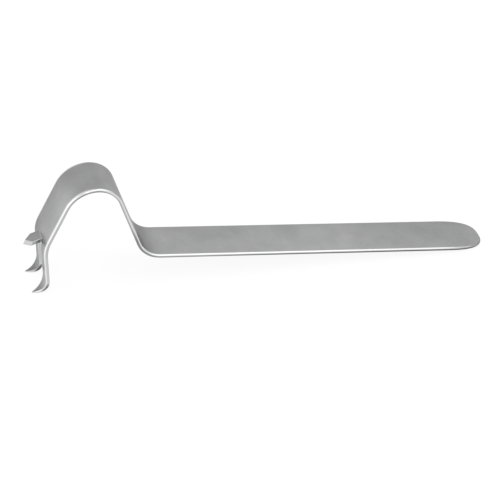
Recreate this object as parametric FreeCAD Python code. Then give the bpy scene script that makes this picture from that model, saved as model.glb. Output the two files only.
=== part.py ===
import FreeCAD, Part

import math
import os

# Handheld surgical retractor bent from one strip of stainless steel.
# The strip is described from its free handle end, which lies at x = 0 with the
# handle running towards -X. Headings are angles of travel in the side view.
# The finished shape is then turned to lie as it rests on a table: on the
# rounded handle end and the two claw tips.

# Strip
STRIP_WIDTH = 25.0
STRIP_THICKNESS = 2.0
EDGE_RADIUS = 0.85

# Handle and its rounded free end
HANDLE_LENGTH = 176.0
HANDLE_END_LENGTH = 22.4
HANDLE_END_FULLNESS = 2.84
HANDLE_END_POINTS = 9

# Side profile after the handle: centreline radii, turns and straight lengths
VALLEY_RADIUS = 13.0
VALLEY_ANGLE_DEG = -63.4
RISE_LENGTH = 27.1
CREST_RADIUS = 13.2
CREST_ANGLE_DEG = 69.9
SHOULDER_RADIUS = 15.4
SHOULDER_ANGLE_DEG = 64.8
FLANK_LENGTH = 20.4
PALM_RADIUS = 17.8
PALM_ANGLE_DEG = 28.2

# Fork: two outer claws with a slot between them
CLAW_WIDTH = 8.4
CLAW_INNER_EDGE_RADIUS = 0.6
CLAW_START_BEFORE_PALM = 6.4
CLAW_BEND_AFTER_PALM = 13.8
CLAW_BEND_RADIUS = 8.0
CLAW_BEND_ANGLE_DEG = -73.0
CLAW_POINT_LENGTH = 1.8
CLAW_TAPER_LENGTH = 10.1
CLAW_TAPER_POWER = 1.3
CLAW_THINNING_LENGTH = 8.0
CLAW_TIP_WIDTH = 0.5
CLAW_TIP_THICKNESS = 0.45
CLAW_TIP_EDGE_RADIUS = 0.15
CLAW_TIP_OUTWARD = 0.55
CLAW_EDGE_SHARE = 0.45
CLAW_SECTIONS = 16

# Middle tab, turned out of the slot
TAB_WIDTH = 7.4
TAB_EDGE_RADIUS = 0.35
TAB_BEND_RADIUS = 2.0
TAB_BEND_ANGLE_DEG = -55.5
TAB_STRAIGHT_LENGTH = 4.1
TAB_POINT_LENGTH = 3.4
TAB_BEVEL_LENGTH = 1.6

Y_AXIS = FreeCAD.Vector(0, 1, 0)


class Station:
    """A place on the strip's centreline in the side view, with its heading."""

    def __init__(self, x, z, heading):
        self.x = x
        self.z = z
        self.heading = heading

    def direction(self):
        return FreeCAD.Vector(math.cos(self.heading), 0, math.sin(self.heading))

    def outward(self):
        """Direction through the thickness, away from the table on the handle."""
        return FreeCAD.Vector(math.sin(self.heading), 0, -math.cos(self.heading))

    def point(self, along=0.0, across=0.0, out=0.0):
        base = FreeCAD.Vector(self.x, across, self.z)
        return base + self.direction() * along + self.outward() * out

    def straight(self, length):
        """The station further on along a straight run."""
        there = self.point(along=length)
        return Station(there.x, there.z, self.heading)

    def centre(self, radius, turn):
        """Centre of a bend of this radius that turns the given way."""
        side = -math.copysign(radius, turn)
        return self.point(out=side)

    def bend(self, radius, turn):
        """The station at the end of a bend, its turn in degrees."""
        centre = self.centre(radius, turn)
        heading = self.heading + math.radians(turn)
        side = math.copysign(radius, turn)
        out = FreeCAD.Vector(math.sin(heading), 0, -math.cos(heading))
        there = centre + out * side
        return Station(there.x, there.z, heading)


def section(station, low, high, thickness, low_radius, high_radius, out=0.0):
    """Rounded rectangle across the strip, from y = low to y = high."""
    half = thickness / 2
    corners = []
    for y, side, z_side, radius in (
        (low, 1, -1, low_radius),
        (high, -1, -1, high_radius),
        (high, -1, 1, high_radius),
        (low, 1, 1, low_radius),
    ):
        corners.append((y, z_side * half, side * radius, -z_side * radius))
    edges = []
    ends = []
    for index, (y, z, in_y, in_z) in enumerate(corners):
        on_side = station.point(across=y, out=out + z + in_z)
        on_face = station.point(across=y + in_y, out=out + z)
        middle = station.point(
            across=y + in_y * (1 - math.sqrt(0.5)),
            out=out + z + in_z * (1 - math.sqrt(0.5)),
        )
        first, last = (on_side, on_face) if index % 2 == 0 else (on_face, on_side)
        ends.append((first, middle, last))
    for index, (first, middle, last) in enumerate(ends):
        edges.append(Part.Arc(first, middle, last).toShape())
        following = ends[(index + 1) % 4][0]
        edges.append(Part.LineSegment(last, following).toShape())
    return Part.Wire(edges)


def full_section(station):
    half = STRIP_WIDTH / 2
    return section(station, -half, half, STRIP_THICKNESS, EDGE_RADIUS, EDGE_RADIUS)


def run_straight(station, length, make_section):
    """Solid of a straight run and the station at its far end."""
    solid = Part.Face(make_section(station)).extrude(station.direction() * length)
    return solid, station.straight(length)


def run_bend(station, radius, turn, make_section):
    """Solid of a bend and the station at its far end."""
    face = Part.Face(make_section(station))
    solid = face.revolve(station.centre(radius, turn), Y_AXIS, -turn)
    return solid, station.bend(radius, turn)


def handle_plate():
    """Flat end of the handle, with its rounded outline and soft edges."""
    half = STRIP_WIDTH / 2
    length = HANDLE_END_LENGTH
    power = 2 / HANDLE_END_FULLNESS
    outline = []
    for index in range(2 * HANDLE_END_POINTS - 1):
        angle = math.pi / 2 * (index / (HANDLE_END_POINTS - 1) - 1)
        x = length * math.cos(angle) ** power - length if abs(angle) < math.pi / 2 else -length
        y = math.copysign(half * abs(math.sin(angle)) ** power, angle)
        outline.append(FreeCAD.Vector(x, y, -STRIP_THICKNESS / 2))
    nose = Part.BSplineCurve()
    ahead = FreeCAD.Vector(1, 0, 0)
    nose.interpolate(Points=outline, InitialTangent=ahead, FinalTangent=ahead * -1)
    closing = Part.LineSegment(outline[-1], outline[0])
    face = Part.Face(Part.Wire([nose.toShape(), closing.toShape()]))
    plate = face.extrude(FreeCAD.Vector(0, 0, STRIP_THICKNESS))
    rims = []
    for edge in plate.Edges:
        box = edge.BoundBox
        if box.XLength > length / 2 and box.ZLength < STRIP_THICKNESS / 2:
            rims.append(edge)
    return plate.makeFillet(EDGE_RADIUS, rims)


def strip_body():
    """The full-width strip from the handle end down to the fork."""
    start = Station(-HANDLE_END_LENGTH, 0, math.pi)
    pieces = [handle_plate()]
    solid, station = run_straight(start, HANDLE_LENGTH - HANDLE_END_LENGTH, full_section)
    pieces.append(solid)
    solid, station = run_bend(station, VALLEY_RADIUS, VALLEY_ANGLE_DEG, full_section)
    pieces.append(solid)
    solid, station = run_straight(station, RISE_LENGTH, full_section)
    pieces.append(solid)
    solid, station = run_bend(station, CREST_RADIUS, CREST_ANGLE_DEG, full_section)
    pieces.append(solid)
    solid, station = run_bend(station, SHOULDER_RADIUS, SHOULDER_ANGLE_DEG, full_section)
    pieces.append(solid)
    solid, station = run_straight(station, FLANK_LENGTH, full_section)
    pieces.append(solid)
    share = 1 - CLAW_START_BEFORE_PALM / (PALM_RADIUS * math.radians(PALM_ANGLE_DEG))
    solid, station = run_bend(station, PALM_RADIUS, PALM_ANGLE_DEG * share, full_section)
    pieces.append(solid)
    return pieces, station, PALM_ANGLE_DEG * (1 - share)


def claw_bend_length():
    return CLAW_BEND_RADIUS * math.radians(abs(CLAW_BEND_ANGLE_DEG))


def claw_length():
    return CLAW_BEND_AFTER_PALM + claw_bend_length() + CLAW_POINT_LENGTH


def claw_stretches(distance):
    """Shares of a distance along a claw: straight palm, angle of the bend, and point."""
    before = min(distance, CLAW_BEND_AFTER_PALM)
    around = min(distance - before, claw_bend_length())
    angle = CLAW_BEND_ANGLE_DEG * around / claw_bend_length()
    return before, angle, distance - before - around


def claw_station(palm, distance):
    """Station at a distance along a claw from the start of the straight palm."""
    before, angle, beyond = claw_stretches(distance)
    return palm.straight(before).bend(CLAW_BEND_RADIUS, angle).straight(beyond)


def claw_shank(palm, distance, make_section):
    """Solids of the claw's even width, as far as a distance along it."""
    before, angle, beyond = claw_stretches(distance)
    solid, station = run_straight(palm, before, make_section)
    solids = [solid]
    if angle:
        solid, station = run_bend(station, CLAW_BEND_RADIUS, angle, make_section)
        solids.append(solid)
    if beyond > 0:
        solids.append(run_straight(station, beyond, make_section)[0])
    return solids


def claw_tip_section(station, outer, inner, left):
    """Section of a claw's tapered end, where this length of the claw is left."""
    narrowing = (1 - left / CLAW_TAPER_LENGTH) ** CLAW_TAPER_POWER
    thinning = max(0.0, 1 - left / CLAW_THINNING_LENGTH) ** CLAW_TAPER_POWER
    width = CLAW_WIDTH - (CLAW_WIDTH - CLAW_TIP_WIDTH) * narrowing
    thickness = STRIP_THICKNESS - (STRIP_THICKNESS - CLAW_TIP_THICKNESS) * thinning
    middle = (outer + inner) / 2 - CLAW_TIP_OUTWARD * narrowing
    largest = CLAW_EDGE_SHARE * min(width, thickness)
    outer_radius = EDGE_RADIUS - (EDGE_RADIUS - CLAW_TIP_EDGE_RADIUS) * thinning
    inner_radius = CLAW_INNER_EDGE_RADIUS
    inner_radius -= (CLAW_INNER_EDGE_RADIUS - CLAW_TIP_EDGE_RADIUS) * thinning
    return section(
        station,
        middle - width / 2,
        middle + width / 2,
        thickness,
        min(outer_radius, largest),
        min(inner_radius, largest),
        (STRIP_THICKNESS - thickness) / 2,
    )


def claw(fork, palm_turn_left):
    """One outer claw on the near side: an even strip, then a curved sharp point."""
    outer = -STRIP_WIDTH / 2
    inner = outer + CLAW_WIDTH

    def even(station):
        return section(
            station, outer, inner, STRIP_THICKNESS, EDGE_RADIUS, CLAW_INNER_EDGE_RADIUS
        )

    arc, palm = run_bend(fork, PALM_RADIUS, palm_turn_left, even)
    length = claw_length()
    shank = claw_shank(palm, length - CLAW_TAPER_LENGTH, even)
    wires = []
    for index in range(CLAW_SECTIONS):
        left = CLAW_TAPER_LENGTH * (1 - index / (CLAW_SECTIONS - 1))
        station = claw_station(palm, length - left)
        wires.append(claw_tip_section(station, outer, inner, left))
    point = Part.makeLoft(wires, True, False, False, 3)
    return [arc, *shank, point], palm


def facet_cutter(station, side):
    """Block that cuts one bevelled facet of the tab's pointed end."""
    half = STRIP_THICKNESS / 2
    shoulder = station.point(across=side * TAB_WIDTH / 2, out=half)
    apex = station.point(along=TAB_POINT_LENGTH, out=half)
    low_apex = station.point(along=TAB_POINT_LENGTH + TAB_BEVEL_LENGTH, out=-half)
    rim = apex - shoulder
    slope = low_apex - apex
    outward = rim.cross(slope)
    outward.normalize()
    if outward.dot(station.direction()) < 0:
        outward = outward * -1
    corners = []
    for rim_share, slope_share in ((-3, -2), (4, -2), (4, 3), (-3, 3)):
        corners.append(shoulder + rim * rim_share + slope * slope_share)
    face = Part.Face(Part.makePolygon(corners + corners[:1]))
    return face.extrude(outward * TAB_WIDTH * 2)


def tab(fork):
    """The middle tab: a bend out of the strip, then a flat with a pointed end."""
    half = TAB_WIDTH / 2

    def even(station):
        return section(station, -half, half, STRIP_THICKNESS, TAB_EDGE_RADIUS, TAB_EDGE_RADIUS)

    bend, straight_start = run_bend(fork, TAB_BEND_RADIUS, TAB_BEND_ANGLE_DEG, even)
    reach = TAB_STRAIGHT_LENGTH + TAB_POINT_LENGTH + TAB_BEVEL_LENGTH
    flat, _ = run_straight(straight_start, reach, even)
    shoulder = straight_start.straight(TAB_STRAIGHT_LENGTH)
    for side in (-1, 1):
        flat = flat.cut(facet_cutter(shoulder, side))
    return [bend, flat]


def rest_angle(palm):
    """Angle that brings the handle end and the claw tips down to one level."""
    tip = claw_station(palm, claw_length())
    low = tip.point(out=STRIP_THICKNESS / 2 - CLAW_TIP_THICKNESS)
    rim_x = -EDGE_RADIUS
    rim_z = EDGE_RADIUS - STRIP_THICKNESS / 2
    run = math.hypot(rim_x - low.x, rim_z - low.z)
    rise = math.atan2(rim_z - low.z, rim_x - low.x)
    return math.degrees(rise - math.asin(EDGE_RADIUS / run))


def main():
    os.makedirs("parts", exist_ok=True)
    pieces, fork, palm_turn_left = strip_body()
    near_claw, palm = claw(fork, palm_turn_left)
    pieces.extend(near_claw)
    for solid in near_claw:
        pieces.append(solid.mirror(FreeCAD.Vector(0, 0, 0), Y_AXIS))
    pieces.extend(tab(fork))
    body = pieces[0].fuse(pieces[1:]).removeSplitter()
    body.rotate(FreeCAD.Vector(0, 0, 0), Y_AXIS, rest_angle(palm))
    box = body.optimalBoundingBox(False, False)
    body.translate(FreeCAD.Vector(-box.Center.x, 0, -box.ZMin))
    if len(body.Solids) == 1:
        body = body.Solids[0]
    print("solids", len(body.Solids), "valid", body.isValid(), "volume", round(body.Volume, 1))
    print("rest angle", round(rest_angle(palm), 3))
    box = body.optimalBoundingBox(False, False)
    print("size", round(box.XLength, 3), round(box.YLength, 3), round(box.ZLength, 3))
    body.exportStep("parts/retractor_body.step")


main()
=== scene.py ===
import logging
import math
from dataclasses import dataclass, fields
from enum import Enum
from typing import Any, Iterable, Mapping, Union

import bmesh
import bpy
from mathutils import Euler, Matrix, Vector

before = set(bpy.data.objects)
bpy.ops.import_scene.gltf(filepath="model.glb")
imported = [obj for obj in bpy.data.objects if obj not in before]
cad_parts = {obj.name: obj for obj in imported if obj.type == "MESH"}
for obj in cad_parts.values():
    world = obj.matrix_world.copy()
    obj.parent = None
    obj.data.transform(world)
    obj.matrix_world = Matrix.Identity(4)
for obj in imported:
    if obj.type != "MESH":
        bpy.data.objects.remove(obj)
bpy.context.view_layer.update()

LOG = logging.getLogger("retractor")

Value = Union["Shade", float]
Span = tuple[float, float]
Triple = tuple[float, float, float]
Colour = tuple[float, float, float, float]

# Keeps a root's argument above zero.
TINY = 1e-12
# The level about which a noise varies.
NOISE_MEAN = 0.5
# A Mix node's sockets, when it is set to mix colours.
MIX_FACTOR, MIX_FIRST, MIX_SECOND, MIX_COLOUR = 0, 6, 7, 2


class Ray(Enum):
    """The kinds of ray that see the bright studio floor."""

    CAMERA = "Is Camera Ray"
    GLOSSY = "Is Glossy Ray"
    TRANSMISSION = "Is Transmission Ray"


class Axis(Enum):
    """What a place on the strip is measured along."""

    X = "X"
    Y = "Y"
    Z = "Z"
    ACROSS = "distance from the strip's middle"


class Shade:
    """A shader socket that takes part in ordinary arithmetic on values."""

    def __init__(self, graph: "Graph", socket: bpy.types.NodeSocket) -> None:
        """Wraps one output socket.

        Args:
            graph: the node graph that owns the socket.
            socket: the output socket.
        """
        self.graph = graph
        self.socket = socket

    def _math(self, operation: str, *values: Value) -> "Shade":
        """Adds one Math node.

        Args:
            operation: the Math node's operation.
            values: its inputs in order.

        Returns:
            The node's result.
        """
        settings = {"operation": operation}
        return self.graph.node("ShaderNodeMath", settings, dict(enumerate(values)))

    def __add__(self, other: Value) -> "Shade":
        """Sum."""
        return self._math("ADD", self, other)

    __radd__ = __add__

    def __mul__(self, other: Value) -> "Shade":
        """Product."""
        return self._math("MULTIPLY", self, other)

    __rmul__ = __mul__

    def __sub__(self, other: Value) -> "Shade":
        """Difference."""
        return self._math("SUBTRACT", self, other)

    def __rsub__(self, other: Value) -> "Shade":
        """Difference from a number."""
        return self._math("SUBTRACT", other, self)

    def __truediv__(self, other: Value) -> "Shade":
        """Quotient."""
        return self._math("DIVIDE", self, other)

    def __neg__(self) -> "Shade":
        """The value with the other sign."""
        return 0.0 - self

    def __abs__(self) -> "Shade":
        """Size without sign."""
        return self._math("ABSOLUTE", self)

    def larger(self, other: Value) -> "Shade":
        """The larger of two values."""
        return self._math("MAXIMUM", self, other)

    def length(self, other: "Shade") -> "Shade":
        """Length of the line that runs this far one way and that far the other."""
        return self._math("POWER", self * self + other * other + TINY, 0.5)

    def ramp(self, low: float, high: float) -> "Shade":
        """A smooth step from 0 at low to 1 at high.

        Args:
            low: the value below which the step is 0.
            high: the value above which the step is 1.

        Returns:
            The step.
        """
        settings = {"interpolation_type": "SMOOTHSTEP"}
        inputs = {"Value": self, "From Min": low, "From Max": high}
        return self.graph.node("ShaderNodeMapRange", settings, inputs, "Result")


Place = Mapping[Axis, Shade]


class Graph:
    """A material's or world's node tree, built one node at a time."""

    def __init__(self, tree: bpy.types.NodeTree) -> None:
        """Takes over a tree and empties it.

        Args:
            tree: the node tree.
        """
        self.tree = tree
        tree.nodes.clear()

    def node(
        self,
        kind: str,
        settings: Mapping[str, Any] | None = None,
        inputs: Mapping[Union[str, int], Any] | None = None,
        output: Union[str, int] = 0,
    ) -> Shade:
        """Adds any node.

        Args:
            kind: the node's type.
            settings: its properties, set first.
            inputs: a value or a Shade for each named or numbered input.
            output: the output that is wanted.

        Returns:
            The wanted output.
        """
        made = self.tree.nodes.new(kind)
        for name, value in (settings or {}).items():
            setattr(made, name, value)
        for name, value in (inputs or {}).items():
            socket = made.inputs[name]
            if isinstance(value, Shade):
                self.tree.links.new(value.socket, socket)
            else:
                socket.default_value = value
        return Shade(self, made.outputs[output])

    def axes(self, vector: Shade) -> dict[Axis, Shade]:
        """Splits a vector.

        Args:
            vector: the vector.

        Returns:
            Its three numbers by axis.
        """
        return {
            axis: self.node("ShaderNodeSeparateXYZ", inputs={0: vector}, output=axis.value)
            for axis in (Axis.X, Axis.Y, Axis.Z)
        }

    def finish(self, kind: str, surface: Shade) -> None:
        """Adds the output node.

        Args:
            kind: the output node's type.
            surface: the shader that it shows.
        """
        end = self.tree.nodes.new(kind)
        self.tree.links.new(surface.socket, end.inputs["Surface"])


def grey(value: float) -> Colour:
    """A neutral colour of that linear value."""
    return (value, value, value, 1.0)


def mix(low: Value, high: Value, share: Shade) -> Shade:
    """A value that is low where the share is 0 and high where it is 1.

    Args:
        low: the value at a share of 0.
        high: the value at a share of 1.
        share: where between them the value lies.

    Returns:
        The value in between.
    """
    return share * (high - low) + low


@dataclass(frozen=True)
class Zone:
    """A range along one axis with soft ends, in metres.

    The mask rises from start to full, and with a fade and an end it falls again
    from the one to the other. Where full is the lower number, it rises towards
    the lower places.
    """

    axis: Axis
    start: float
    full: float
    fade: float = math.inf
    end: float = math.inf

    def mask(self, place: Place) -> Shade:
        """How far a point lies in the range.

        Args:
            place: the object coordinates by axis.

        Returns:
            1 inside the range and 0 outside.
        """
        along = place[self.axis]
        if self.full < self.start:
            inside = 1 - along.ramp(self.full, self.start)
        else:
            inside = along.ramp(self.start, self.full)
        if math.isfinite(self.end):
            inside = inside * (1 - along.ramp(self.fade, self.end))
        return inside


@dataclass(frozen=True)
class Stretch:
    """A part of the strip, which lies in all of its zones."""

    zones: tuple[Zone, ...]

    def mask(self, place: Place) -> Shade:
        """How far a point lies in the stretch.

        Args:
            place: the object coordinates by axis.

        Returns:
            1 inside the stretch and 0 outside.
        """
        inside = self.zones[0].mask(place)
        for zone in self.zones[1:]:
            inside = inside * zone.mask(place)
        return inside


@dataclass(frozen=True)
class PaintedFaceLight(Stretch):
    """How much painted light brightens one stretch of the faces, or painted shade darkens it if
    negative.
    """

    gain: float


@dataclass(frozen=True)
class PaintedRimLight(Stretch):
    """How bright one stretch of the rim is painted along its middle and its border, as painted
    highlight and painted shade.

    The border begins where the surface turns to the strip's upper face by less
    than turn, a number from -1 to 1.
    """

    middle: float
    border: float
    turn: float = 0.10


@dataclass(frozen=True)
class PaintedShadeSpot:
    """A place in the side view around which shade is painted on the steel."""

    x: float
    z: float
    full: float
    end: float
    loss: float
    across: Zone

    def kept(self, place: Place) -> Shade:
        """The share of the brightness that is kept.

        Args:
            place: the object coordinates by axis.

        Returns:
            1 away from the spot.
        """
        away = (place[Axis.X] - self.x).length(place[Axis.Z] - self.z)
        near = 1 - away.ramp(self.full, self.end)
        return 1 - near * self.across.mask(place) * self.loss


FORK = Zone(Axis.X, -0.100, -0.104)
FRONT = Zone(Axis.X, -0.094, -0.104)
CLAW_SIDE = Zone(Axis.Z, 0.026, 0.020)
SLOT_SIDE = Zone(Axis.ACROSS, 0.0100, 0.0085)
TAB_WIDTH = Zone(Axis.ACROSS, 0.0042, 0.0039)
HOOK = Stretch((FORK, Zone(Axis.Z, 0.0090, 0.0082)))
HOOK_BEND = (FORK, Zone(Axis.Z, 0.0078, 0.0052), Zone(Axis.X, -0.1140, -0.1120))


@dataclass(frozen=True)
class PaintedFaceLights:
    """The faces' painted light and shade along the strip, from the handle to the claws."""

    # Painted light and shade on the faces: the valley and the crest are painted darker, the
    # handle, the slope, the front and the claws lighter.
    mid_handle: PaintedFaceLight = PaintedFaceLight((Zone(Axis.X, -0.040, 0.000, 0.045, 0.100),), 0.095)
    handle_start: PaintedFaceLight = PaintedFaceLight((Zone(Axis.X, -0.060, -0.051, -0.048, -0.030),), 0.08)
    valley: PaintedFaceLight = PaintedFaceLight((Zone(Axis.X, -0.084, -0.076, -0.066, -0.055),), -0.27)
    slope: PaintedFaceLight = PaintedFaceLight((Zone(Axis.X, -0.086, -0.078, -0.072, -0.066),), 0.24)
    crest: PaintedFaceLight = PaintedFaceLight((Zone(Axis.X, -0.104, -0.095, -0.088, -0.080),), -0.10)
    front: PaintedFaceLight = PaintedFaceLight((FRONT,), 0.09)
    claws: PaintedFaceLight = PaintedFaceLight((FORK, Zone(Axis.Z, 0.028, 0.020)), 0.07)

    def change(self, place: Place) -> Shade:
        """What all the tones add to the brightness, as a share of it."""
        tones = (getattr(self, part.name) for part in fields(self))
        return sum(tone.mask(place) * tone.gain for tone in tones)


@dataclass(frozen=True)
class PaintedRimLights:
    """The rim's painted highlight and shade along the strip. A later tone covers an earlier
    one.
    """

    # Each tone paints a highlight along the rim's middle and shade along its border, where
    # reflections would fall.
    nose: PaintedRimLight = PaintedRimLight((Zone(Axis.X, 0.095, 0.108),), 0.42, 0.10)
    front_handle: PaintedRimLight = PaintedRimLight((Zone(Axis.X, 0.080, 0.020),), 0.76, 0.17)
    back_handle: PaintedRimLight = PaintedRimLight((Zone(Axis.X, 0.010, -0.036),), 0.78, 0.31)
    valley: PaintedRimLight = PaintedRimLight((Zone(Axis.X, -0.054, -0.063),), 0.76, 0.24)
    rise: PaintedRimLight = PaintedRimLight((Zone(Axis.X, -0.0665, -0.0715),), 0.68, 0.42, -0.15)
    crest: PaintedRimLight = PaintedRimLight((Zone(Axis.X, -0.078, -0.088),), 0.74, 0.27)
    flank: PaintedRimLight = PaintedRimLight((Zone(Axis.X, -0.094, -0.102),), 0.90, 0.50, 0.40)
    claws: PaintedRimLight = PaintedRimLight((FORK, CLAW_SIDE), 0.78, 0.56, 0.25)
    slot: PaintedRimLight = PaintedRimLight((FORK, CLAW_SIDE, SLOT_SIDE), 0.58, 0.62)
    # The hooks' bends get painted shade, darkest on the slot side.
    hooks: PaintedRimLight = PaintedRimLight(HOOK_BEND, 0.64, 0.20, 0.35)
    slot_hooks: PaintedRimLight = PaintedRimLight(HOOK_BEND + (SLOT_SIDE,), 0.30, 0.10, 0.30)
    tab: PaintedRimLight = PaintedRimLight((Zone(Axis.X, -0.1120, -0.1127), TAB_WIDTH), 0.45, 0.38)

    def lay(
        self, place: Place, middle: Value, border: Value, turn: Value
    ) -> tuple[Value, Value, Value]:
        """Lays every tone over the rim's plain one.

        Args:
            place: the object coordinates by axis.
            middle: the plain rim's brightness along its middle.
            border: the plain rim's brightness along its border.
            turn: the turn at which the plain rim's border begins.

        Returns:
            The same three, as they change along the strip.
        """
        for part in fields(self):
            tone = getattr(self, part.name)
            mask = tone.mask(place)
            middle = mix(middle, tone.middle, mask)
            border = mix(border, tone.border, mask)
            turn = mix(turn, tone.turn, mask)
        return middle, border, turn


@dataclass(frozen=True)
class Finish:
    """A material that one shader covers all over."""

    name: str

    def build(self) -> bpy.types.Material:
        """Makes the material.

        Returns:
            The material.
        """
        material = bpy.data.materials.new(self.name)
        material.use_nodes = True
        graph = Graph(material.node_tree)
        graph.finish("ShaderNodeOutputMaterial", self.surface(graph))
        return material

    def surface(self, graph: Graph) -> Shade:
        """The finish's shader, which each finish makes its own way."""
        raise NotImplementedError


@dataclass(frozen=True)
class BlastedSteel(Finish):
    """Stainless steel with matt blasted faces and polished, rounded rims.

    A rim is told from a face by how far the surface leans sideways, and at the
    handle's end by how far it leans forward. The rim is painted bright along its
    middle, partly its polish and partly a painted highlight, and painted darker
    along its border, which lies towards the strip's lower face, as painted shade.
    Both change along the strip with its bends, and so does the painted light and
    shade on the faces. The tab's top, the claws' points and the nose's edge get
    painted shade; the tab's underside and end facets and the hooks' undersides get
    a painted highlight.
    """

    name: str = "blasted_steel"
    tint: Colour = (0.995, 1.0, 1.0, 1.0)
    grazing_tint: float = 0.66
    half_width: float = 0.0125
    hump_centre: Triple = (-0.088, 0.0, 0.044)
    hook_centre: Triple = (-0.1186, 0.0, 0.0082)

    # The faces: plain brightness, then where and how much painted light and shade change it.
    face: float = 0.405
    face_roughness: float = 0.36
    face_painted_light: PaintedFaceLights = PaintedFaceLights()
    # Painted shade: the faces are painted darker towards the far side, more so at the front.
    far_side_painted_shade: float = 0.06
    front_far_side_painted_shade: float = 0.12
    # Painted shade on the palm's far side, next to the tab.
    palm: Stretch = Stretch((FORK, Zone(Axis.Z, 0.022, 0.026, 0.0285, 0.034)))
    palm_far_side_painted_shade: float = 0.24
    # Painted shade on the claws' points where they face up.
    points: Stretch = Stretch((FORK, Zone(Axis.Z, 0.012, 0.008)))
    points_upward: Span = (0.0, 0.9)
    points_painted_shade: float = 0.45
    # Painted light and shade on the tab: its top is painted darker and its underside lighter.
    tab_upward: Span = (-0.5, 0.5)
    tab_top_painted_shade: float = -0.25
    tab_under_painted_light: float = 0.80

    # The rims: plain brightness with painted highlight and shade, what counts as a rim, and the
    # places where highlight and shade are painted.
    # The rim's plain middle is its polish plus a painted highlight; its border is painted
    # shade.
    rim_middle: float = 0.68
    rim_border_painted_shade: float = 0.10
    rim_turn: float = 0.10
    rim_painted_light: PaintedRimLights = PaintedRimLights()
    rim_roughness: float = 0.18
    border_roughness: float = 0.28
    border_blur: float = 0.15
    sideways: Span = (0.06, 0.34)
    forward: Span = (0.25, 0.55)
    level_handle: Zone = Zone(Axis.X, -0.068, -0.054)
    nose: Zone = Zone(Axis.X, 0.097, 0.099)
    # Painted shade on the rim round the handle's end.
    nose_edge_painted_shade: float = 0.32
    # Painted shade along the rise's upper rim border as well.
    rise: Zone = Zone(Axis.X, -0.087, -0.076, -0.0725, -0.0665)
    rise_upper_border: Span = (0.38, 0.80)
    wide_rim: Stretch = Stretch(
        (Zone(Axis.X, -0.086, -0.096), Zone(Axis.ACROSS, 0.0110, 0.0114))
    )
    slot_end: Stretch = Stretch(
        (
            Zone(Axis.Z, 0.0205, 0.0235),
            Zone(Axis.X, -0.1132, -0.1126),
            Zone(Axis.ACROSS, 0.0112, 0.0100),
        )
    )
    # A painted glint on the hooks' undersides, at the slot and at the tips.
    hook_tip: Zone = Zone(Axis.X, -0.1128, -0.1142)
    hook_underside_painted_glint: float = 0.75
    hook_downward: Span = (0.15, 0.45)
    # A painted highlight on the tab's end facets.
    tab_facet_painted_highlight: float = 0.61
    tab_facet_backward: Span = (0.10, 0.30)
    # Painted shade where the tab's root meets the strip.
    tab_root: PaintedShadeSpot = PaintedShadeSpot(
        x=-0.1125, z=0.0262, full=0.0008, end=0.0036, loss=0.52, across=TAB_WIDTH
    )

    # The mottling: fine grain from the blasting, and soft clouds.
    grain_size: float = 0.0008
    grain_detail: float = 3.0
    grain_spread: float = 0.28
    grain_height: float = 0.000004
    grain_roughness: float = 0.06
    cloud_size: float = 0.014
    cloud_detail: float = 2.0
    cloud_spread: float = 0.34
    noise_roughness: float = 0.55

    def surface(self, graph: Graph) -> Shade:
        """The steel's shader.

        Args:
            graph: the material's graph.

        Returns:
            The shader.
        """
        point = graph.node("ShaderNodeTexCoord", output="Object")
        place = graph.axes(point)
        place[Axis.ACROSS] = abs(place[Axis.Y])
        normal = graph.axes(graph.node("ShaderNodeNewGeometry", output="Normal"))
        rim = self._rim_mask(place, normal)
        border, rim_level = self._rim(place, normal)
        grain = self._noise(graph, point, self.grain_size, self.grain_detail)
        cloud = self._noise(graph, point, self.cloud_size, self.cloud_detail)
        mottle = (grain - NOISE_MEAN) * self.grain_spread
        mottle = mottle + (cloud - NOISE_MEAN) * self.cloud_spread
        face_level = self._face_level(place, normal) * (1 + mottle)
        rough_face = (grain - NOISE_MEAN) * self.grain_roughness + self.face_roughness
        rough_rim = mix(self.rim_roughness, self.border_roughness, border)
        colour = graph.node(
            "ShaderNodeMix",
            {"data_type": "RGBA"},
            {
                MIX_FACTOR: mix(face_level, rim_level, rim),
                MIX_FIRST: grey(0.0),
                MIX_SECOND: self.tint,
            },
            MIX_COLOUR,
        )
        height = {"Strength": 1.0, "Distance": self.grain_height, "Height": grain * (1 - rim)}
        steel = {
            "Base Color": colour,
            "Metallic": 1.0,
            "Roughness": mix(rough_face, rough_rim, rim),
            "Specular Tint": grey(self.grazing_tint),
            "Normal": graph.node("ShaderNodeBump", inputs=height),
        }
        return graph.node("ShaderNodeBsdfPrincipled", inputs=steel)

    def _noise(self, graph: Graph, point: Shade, size: float, detail: float) -> Shade:
        """Soft noise over the object.

        Args:
            graph: the material's graph.
            point: the object coordinates.
            size: the size of its features, in metres.
            detail: how many finer layers are added.

        Returns:
            The noise, from 0 to 1.
        """
        inputs = {
            "Vector": point,
            "Scale": 1.0 / size,
            "Detail": detail,
            "Roughness": self.noise_roughness,
        }
        return graph.node("ShaderNodeTexNoise", inputs=inputs)

    def _face_level(self, place: Place, normal: Place) -> Shade:
        """The faces' brightness along and across the strip, with painted light and shade.

        Args:
            place: the object coordinates by axis.
            normal: the surface's direction by axis.

        Returns:
            The brightness, before the mottling.
        """
        side = place[Axis.Y] / self.half_width
        # Painted shade towards the far side.
        side_loss = FRONT.mask(place) * self.front_far_side_painted_shade + self.far_side_painted_shade
        # Painted shade on the palm's far side.
        palm_loss = self.palm.mask(place) * side.larger(0.0) * self.palm_far_side_painted_shade
        # Painted shade where the points face up.
        upward = normal[Axis.Z].ramp(*self.points_upward)
        points_painted_shade = self.points.mask(place) * upward * self.points_painted_shade
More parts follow.
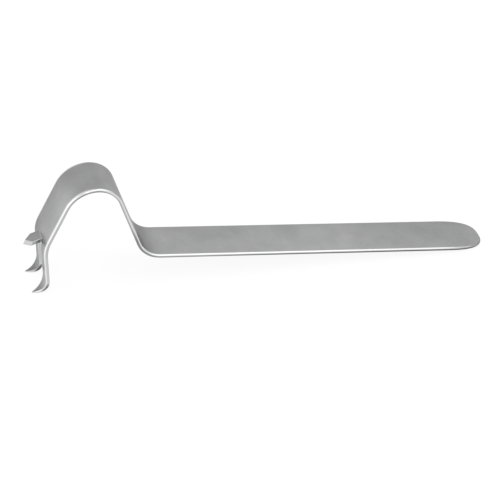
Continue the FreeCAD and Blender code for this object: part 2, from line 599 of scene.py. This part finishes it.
        # The tab's top gets painted shade and its underside painted light.
        top = normal[Axis.Z].ramp(*self.tab_upward)
        tab_painted_light_and_shade = mix(self.tab_under_painted_light, self.tab_top_painted_shade, top)
        tab_painted_light_and_shade = self.rim_painted_light.tab.mask(place) * tab_painted_light_and_shade
        # All the painted light and shade on the faces, as a share of their brightness.
        change = self.face_painted_light.change(place) - palm_loss - points_painted_shade + tab_painted_light_and_shade
        return (1 - side * side_loss) * (1 + change) * self.face

    def _nose_mask(self, place: Place, normal: Place) -> Shade:
        """Where the rim runs round the handle's end."""
        return normal[Axis.X].ramp(*self.forward) * self.nose.mask(place)

    def _rim_mask(self, place: Place, normal: Place) -> Shade:
        """Where the surface is a rounded rim and not a blasted face.

        Args:
            place: the object coordinates by axis.
            normal: the surface's direction by axis.

        Returns:
            1 on the rims and 0 on the faces.
        """
        sides = abs(normal[Axis.Y]).ramp(*self.sideways).larger(self.wide_rim.mask(place))
        sides = sides * (1 - self.slot_end.mask(place))
        return sides.larger(self._nose_mask(place, normal))

    def _rim(self, place: Place, normal: Place) -> tuple[Shade, Shade]:
        """The rims' border and their brightness, with its painted highlight and painted shade.

        Args:
            place: the object coordinates by axis.
            normal: the surface's direction by axis.

        Returns:
            1 on the border and 0 along the middle, and the brightness.
        """
        outward = self._outward(place, normal)
        # Painted highlight along the middle and painted shade along the border, laid stretch by
        # stretch.
        middle, dark, turn = self.rim_painted_light.lay(
            place, self.rim_middle, self.rim_border_painted_shade, self.rim_turn
        )
        border = 1 - (outward - turn).ramp(-self.border_blur, self.border_blur)
        # On the rise the upper border is painted shade as well.
        upper = outward.ramp(*self.rise_upper_border) * self.rise.mask(place)
        border = border.larger(upper)
        # Painted shade round the tab's root.
        level = mix(middle, dark, border) * self.tab_root.kept(place)
        # A painted glint on the hooks' undersides.
        below = (-outward).ramp(*self.hook_downward) * HOOK.mask(place)
        below = below * SLOT_SIDE.mask(place).larger(self.hook_tip.mask(place))
        level = mix(level, self.hook_underside_painted_glint, below)
        # Painted shade round the handle's end.
        level = mix(level, self.nose_edge_painted_shade, self._nose_mask(place, normal))
        # A painted highlight on the tab's end facets.
        facet = (-normal[Axis.X]).ramp(*self.tab_facet_backward)
        facet = self.rim_painted_light.tab.mask(place) * facet
        return border, mix(level, self.tab_facet_painted_highlight, facet)

    def _outward(self, place: Place, normal: Place) -> Shade:
        """How far the surface turns to the strip's upper face.

        That face is on top of the handle, outside the hump and inside the claws' hooks.

        Args:
            place: the object coordinates by axis.
            normal: the surface's direction by axis.

        Returns:
            1 on that face and -1 on the lower one.
        """
        hook = HOOK.mask(place)
        hump_x = place[Axis.X] - self.hump_centre[0]
        hump_z = (place[Axis.Z] - self.hump_centre[2]).larger(0.0)
        hook_x = self.hook_centre[0] - place[Axis.X]
        hook_z = (self.hook_centre[2] - place[Axis.Z]).larger(0.0)
        from_x, from_z = mix(hump_x, hook_x, hook), mix(hump_z, hook_z, hook)
        reach = from_x.length(from_z)
        handle = self.level_handle.mask(place)
        out_x = mix(from_x / reach, 0.0, handle)
        out_z = mix(from_z / reach, 1.0, handle)
        return normal[Axis.X] * out_x + normal[Axis.Z] * out_z


@dataclass(frozen=True)
class StudioFloor(Finish):
    """White sweep that shows as plain white and still takes a soft shadow."""

    name: str = "studio_white"
    paint: float = 0.16
    glow: float = 0.86

    def surface(self, graph: Graph) -> Shade:
        """The floor's shader.

        Args:
            graph: the material's graph.

        Returns:
            The shader.
        """
        seen = graph.node("ShaderNodeLightPath", output=Ray.CAMERA.value)
        for ray in (Ray.GLOSSY, Ray.TRANSMISSION):
            seen = seen.larger(graph.node("ShaderNodeLightPath", output=ray.value))
        paint = graph.node("ShaderNodeBsdfDiffuse", inputs={"Color": grey(self.paint)})
        light = {"Color": grey(1.0), "Strength": seen * self.glow}
        glow = graph.node("ShaderNodeEmission", inputs=light)
        return graph.node("ShaderNodeAddShader", inputs={0: paint, 1: glow})


@dataclass
class Retractor:
    """The instrument itself: one bent strip with its forked end."""

    node: str = "retractor_body"
    finish: BlastedSteel = BlastedSteel()

    def build(self, nodes: Mapping[str, bpy.types.Object]) -> bpy.types.Object:
        """Dresses the solid in its steel finish.

        Args:
            nodes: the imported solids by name.

        Returns:
            The dressed solid.
        """
        body = nodes[self.node]
        body.data.materials.clear()
        body.data.materials.append(self.finish.build())
        return body


@dataclass(frozen=True)
class SoftBox:
    """One flat studio lamp, aimed at a point of the object."""

    name: str
    place: Triple
    aim: Triple
    width: float
    height: float
    power: float

    def build(self) -> bpy.types.Object:
        """Makes the lamp.

        Returns:
            The lamp's object.
        """
        lamp = bpy.data.lights.new(self.name, "AREA")
        lamp.shape = "RECTANGLE"
        lamp.size = self.width
        lamp.size_y = self.height
        lamp.energy = self.power
        holder = bpy.data.objects.new(self.name, lamp)
        holder.location = self.place
        toward = Vector(self.aim) - Vector(self.place)
        holder.rotation_euler = toward.to_track_quat("-Z", "Y").to_euler()
        holder.visible_camera = False
        bpy.context.scene.collection.objects.link(holder)
        return holder


@dataclass
class Studio:
    """Floor, surroundings and lamps."""

    floor_half: float = 3.0
    floor_finish: StudioFloor = StudioFloor()
    sky: float = 0.86
    sky_slope: float = 0.05
    sky_way: Triple = (-0.60, 0.0, 0.80)
    key_box: SoftBox = SoftBox(
        name="key_box",
        place=(0.435, -0.932, 1.226),
        aim=(0.0, 0.0, 0.02),
        width=2.4,
        height=2.0,
        power=10.0,
    )
    side_box: SoftBox = SoftBox(
        name="side_box",
        place=(-0.72, -0.42, 0.27),
        aim=(-0.10, 0.0, 0.03),
        width=0.95,
        height=0.52,
        power=1.0,
    )

    def build(self) -> bpy.types.Object:
        """Builds the floor, the surroundings and both lamps.

        Returns:
            The floor.
        """
        floor = self._floor()
        self._surroundings()
        self.key_box.build()
        self.side_box.build()
        return floor

    def _floor(self) -> bpy.types.Object:
        """Makes the flat floor that the part lies on.

        Returns:
            The floor.
        """
        mesh = bpy.data.meshes.new("floor")
        shape = bmesh.new()
        bmesh.ops.create_grid(shape, x_segments=1, y_segments=1, size=self.floor_half)
        shape.to_mesh(mesh)
        shape.free()
        mesh.materials.append(self.floor_finish.build())
        floor = bpy.data.objects.new("floor", mesh)
        bpy.context.scene.collection.objects.link(floor)
        return floor

    def _surroundings(self) -> None:
        """Lights the part from a soft dome, a little brighter above and beyond the claws."""
        world = bpy.data.worlds.new("studio")
        bpy.context.scene.world = world
        world.use_nodes = True
        graph = Graph(world.node_tree)
        way = graph.node("ShaderNodeTexCoord", output="Generated")
        settings = {"operation": "DOT_PRODUCT"}
        inputs = {0: way, 1: Vector(self.sky_way).normalized()[:]}
        toward = graph.node("ShaderNodeVectorMath", settings, inputs, "Value")
        strength = toward * self.sky_slope + self.sky
        light = {"Color": grey(1.0), "Strength": strength}
        graph.finish("ShaderNodeOutputWorld", graph.node("ShaderNodeBackground", inputs=light))


@dataclass(frozen=True)
class PhotoCamera:
    """Camera at the photograph's viewing angle, with a long lens."""

    place: Triple = (-0.26715, -0.75256, 0.56034)
    turn_degrees: Triple = (55.0559, -4.5287, -16.0791)
    lens: float = 138.357
    sensor: float = 36.0
    nearest: float = 0.01

    def build(self) -> bpy.types.Object:
        """Makes the camera and gives it to the scene.

        Returns:
            The camera's object.
        """
        data = bpy.data.cameras.new("photo_camera")
        data.lens = self.lens
        data.sensor_width = self.sensor
        data.clip_start = self.nearest
        camera = bpy.data.objects.new("photo_camera", data)
        camera.location = self.place
        camera.rotation_euler = Euler([math.radians(turn) for turn in self.turn_degrees], "XYZ")
        bpy.context.scene.collection.objects.link(camera)
        bpy.context.scene.camera = camera
        return camera


def main() -> None:
    """Builds every part of the scene in order."""
    logging.basicConfig(level=logging.INFO, format="%(message)s")
    body = Retractor().build(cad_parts)
    LOG.info("dressed %s with %d faces", body.name, len(body.data.polygons))
    floor = Studio().build()
    LOG.info("laid %s", floor.name)
    camera = PhotoCamera().build()
    LOG.info("placed %s", camera.name)
    bpy.context.scene.view_settings.view_transform = "Standard"


if __name__ == "__main__":
    main()
